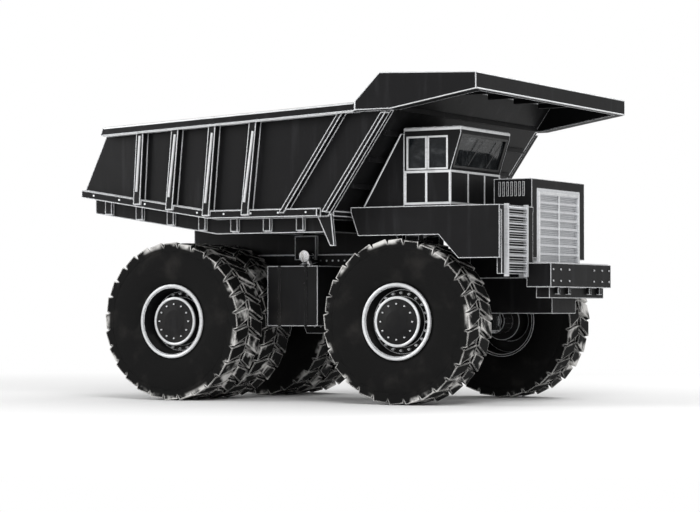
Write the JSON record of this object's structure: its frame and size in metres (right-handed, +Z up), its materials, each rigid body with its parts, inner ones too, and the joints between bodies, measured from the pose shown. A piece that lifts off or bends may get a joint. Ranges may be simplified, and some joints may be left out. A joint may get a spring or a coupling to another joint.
{
  "type": "mining dump truck",
  "caption": "Rigid-frame mining dump truck with a lifting dump body, a canopy over the cab, steered front wheels and twin rear wheels.",
  "frame": {"origin": "on the ground under the middle of the truck's bounding box", "axes": "+X forward along the truck, +Y to its left, +Z up"},
  "size_m": [9.52, 7.08, 6.31],
  "materials": {
    "black_paint": "satin",
    "body_steel": "worn satin",
    "pale_steel": "brushed",
    "chrome_rod": "polished",
    "tyre_rubber": "matte",
    "cab_glass": "clear",
    "seat_fabric": "woven"
  },
  "bodies": {
    "chassis": {"main_frame": "black_paint", "front_beam": "black_paint", "front_strut_left": "pale_steel", "front_strut_right": "pale_steel", "rear_axle": "black_paint", "rear_strut_left": "pale_steel", "rear_strut_right": "pale_steel", "engine": "black_paint", "radiator_grille": "pale_steel", "hood": "black_paint", "deck_right": "black_paint", "deck_left": "black_paint", "front_bumper": "black_paint", "ladder_right": "pale_steel", "fuel_tank": "black_paint", "hydraulic_tank": "black_paint", "cab_shell": "black_paint", "windshield": "cab_glass", "side_glass_1": "cab_glass", "side_glass_2": "cab_glass", "operator_seat": "seat_fabric", "dash_console": "black_paint", "cab_rear_guard": "black_paint"},
    "cab_door": {"cab_door": "black_paint", "cab_door_glass": "cab_glass"},
    "tie_rod": {"tie_rod": "black_paint"},
    "dump_body": {"bed_floor": "body_steel", "bed_rails": "body_steel", "bed_headboard": "body_steel", "bed_canopy": "body_steel", "bed_side_left": "body_steel", "bed_side_right": "body_steel"},
    "steer_left": {"knuckle_left": "black_paint"},
    "front_wheel_left": {"front_rim_left": "black_paint", "front_tyre_left": "tyre_rubber"},
    "rear_wheels_left": {"rear_rim_left": "black_paint", "rear_tyre_outer_left": "tyre_rubber", "rear_tyre_inner_left": "tyre_rubber"},
    "hoist_barrel_left": {"hoist_barrel_left": "black_paint"},
    "hoist_sleeve_left": {"hoist_sleeve_left": "chrome_rod"},
    "hoist_rod_left": {"hoist_rod_left": "chrome_rod"},
    "steer_right": {"knuckle_right": "black_paint"},
    "front_wheel_right": {"front_rim_right": "black_paint", "front_tyre_right": "tyre_rubber"},
    "rear_wheels_right": {"rear_rim_right": "black_paint", "rear_tyre_outer_right": "tyre_rubber", "rear_tyre_inner_right": "tyre_rubber"},
    "hoist_barrel_right": {"hoist_barrel_right": "black_paint"},
    "hoist_sleeve_right": {"hoist_sleeve_right": "chrome_rod"},
    "hoist_rod_right": {"hoist_rod_right": "chrome_rod"}
  },
  "joints": [
    {"name": "bed_lift", "type": "hinge", "parent": "chassis", "child": "dump_body", "pos_m": [-3.43, 0, 2.8], "axis": [0, -1, 0], "range_deg": [0, 45]},
    {"name": "cab_door_swing", "type": "hinge", "parent": "chassis", "child": "cab_door", "pos_m": [3.02, -0.43, 3.95], "axis": [0, 0, -1], "range_deg": [0, 90]},
    {"name": "steer_left", "type": "hinge", "parent": "chassis", "child": "steer_left", "pos_m": [2.12, 1.45, 1.59391], "axis": [0, 0, 1], "range_deg": [-36, 36]},
    {"name": "steer_right", "type": "hinge", "parent": "chassis", "child": "steer_right", "pos_m": [2.12, -1.45, 1.59391], "axis": [0, 0, 1], "range_deg": [-36, 36]},
    {"name": "tie_rod_turn", "type": "hinge", "parent": "steer_left", "child": "tie_rod", "pos_m": [1.22, 1.45, 1.36], "axis": [0, 0, 1], "range_deg": [-36, 36]},
    {"name": "front_spin_left", "type": "hinge", "parent": "steer_left", "child": "front_wheel_left", "pos_m": [2.12, 2.32, 1.59391], "axis": [0, 1, 0], "continuous": true},
    {"name": "rear_spin_left", "type": "hinge", "parent": "chassis", "child": "rear_wheels_left", "pos_m": [-3.02, 0, 1.59391], "axis": [0, 1, 0], "continuous": true},
    {"name": "hoist_tilt_left", "type": "hinge", "parent": "chassis", "child": "hoist_barrel_left", "pos_m": [-0.23, 0.75, 1.5], "axis": [0, -1, 0], "range_deg": [-4, 1]},
    {"name": "hoist_sleeve_slide_left", "type": "slide", "parent": "hoist_barrel_left", "child": "hoist_sleeve_left", "axis": [-0.4908, 0, 0.8712], "range_m": [0, 0.928]},
    {"name": "hoist_rod_slide_left", "type": "slide", "parent": "hoist_sleeve_left", "child": "hoist_rod_left", "axis": [-0.4908, 0, 0.8712], "range_m": [0, 0.928]},
    {"name": "front_spin_right", "type": "hinge", "parent": "steer_right", "child": "front_wheel_right", "pos_m": [2.12, -2.32, 1.59391], "axis": [0, 1, 0], "continuous": true},
    {"name": "rear_spin_right", "type": "hinge", "parent": "chassis", "child": "rear_wheels_right", "pos_m": [-3.02, 0, 1.59391], "axis": [0, 1, 0], "continuous": true},
    {"name": "hoist_tilt_right", "type": "hinge", "parent": "chassis", "child": "hoist_barrel_right", "pos_m": [-0.23, -0.75, 1.5], "axis": [0, -1, 0], "range_deg": [-4, 1]},
    {"name": "hoist_sleeve_slide_right", "type": "slide", "parent": "hoist_barrel_right", "child": "hoist_sleeve_right", "axis": [-0.4908, 0, 0.8712], "range_m": [0, 0.928]},
    {"name": "hoist_rod_slide_right", "type": "slide", "parent": "hoist_sleeve_right", "child": "hoist_rod_right", "axis": [-0.4908, 0, 0.8712], "range_m": [0, 0.928]}
  ],
  "couplings": [
    {"joint": "steer_right", "follows": "steer_left", "ratio": 1},
    {"joint": "tie_rod_turn", "follows": "steer_left", "ratio": -1},
    {"joint": "hoist_tilt_left", "follows": "bed_lift", "ratio": -0.0475},
    {"joint": "hoist_sleeve_slide_left", "follows": "bed_lift", "m_per_rad": 1.1695},
    {"joint": "hoist_rod_slide_left", "follows": "bed_lift", "m_per_rad": 1.1695},
    {"joint": "hoist_tilt_right", "follows": "bed_lift", "ratio": -0.0475},
    {"joint": "hoist_sleeve_slide_right", "follows": "bed_lift", "m_per_rad": 1.1695},
    {"joint": "hoist_rod_slide_right", "follows": "bed_lift", "m_per_rad": 1.1695}
  ]
}
